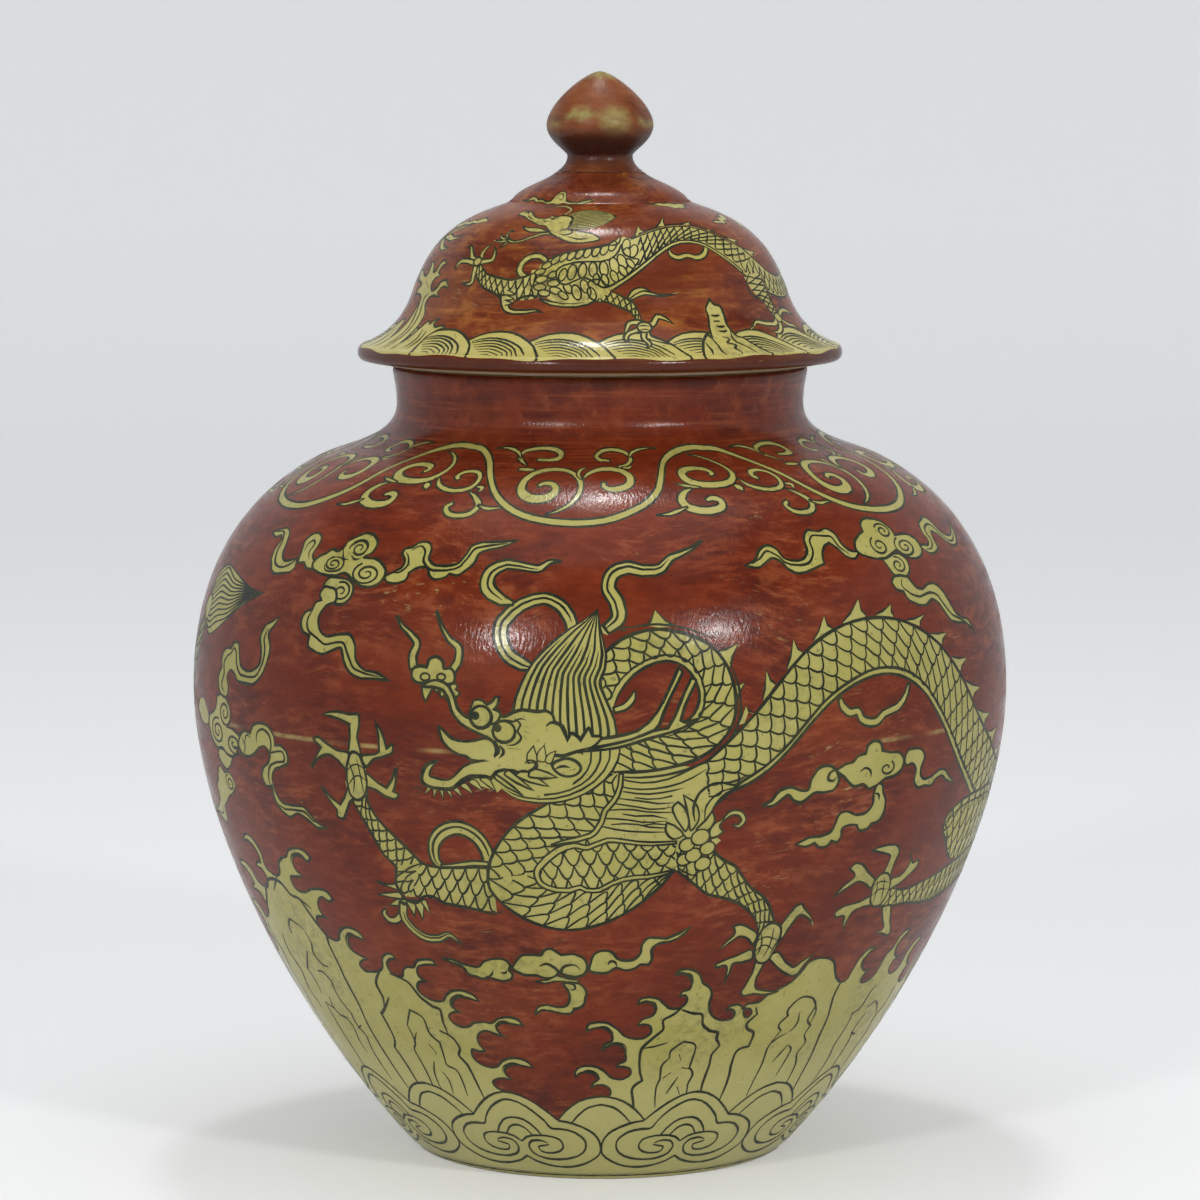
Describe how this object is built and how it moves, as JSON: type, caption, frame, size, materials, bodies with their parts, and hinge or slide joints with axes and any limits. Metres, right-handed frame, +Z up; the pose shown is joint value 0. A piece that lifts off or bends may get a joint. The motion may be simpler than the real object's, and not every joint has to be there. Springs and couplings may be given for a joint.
{
  "type": "lidded jar",
  "caption": "Covered porcelain baluster jar: swelling body on a trimmed foot, short neck, and a domed lid with a brim, locating flange and bud knob.",
  "frame": {"origin": "on the jar's axis, at the level of the foot ring's bearing face", "axes": "+Z up the jar's axis; the jar is turned, so X and Y are alike, and -Y is the side with the painted dragon's head"},
  "size_m": [0.2274, 0.2274, 0.3006],
  "materials": {
    "red_enamel": "iron-red enamel brushed over a yellow glaze, glossy, worn on edges and high places",
    "knob_enamel": "iron-red enamel over yellow glaze, rubbed through at the tip and round the bud's widest part",
    "yellow_glaze": "olive-yellow lead glaze, glossy, stained grey in the hollows; it covers the jar under the red and shows in the figures",
    "black_outline": "green-black outlines drawn with a brush",
    "bare_porcelain": "unglazed porcelain, matt, faintly burnt orange at the edge of the glaze"
  },
  "bodies": {
    "jar": {"jar_lower_body": "red_enamel", "jar_upper_body": "red_enamel", "jar_neck": "red_enamel"},
    "lid": {"lid_dome": "red_enamel", "lid_flange": "bare_porcelain", "lid_knob": "knob_enamel"}
  },
  "joints": [
    {"name": "lid_lift", "type": "slide", "parent": "jar", "child": "lid", "axis": [0, 0, 1], "range_m": [0, 0.1]}
  ]
}
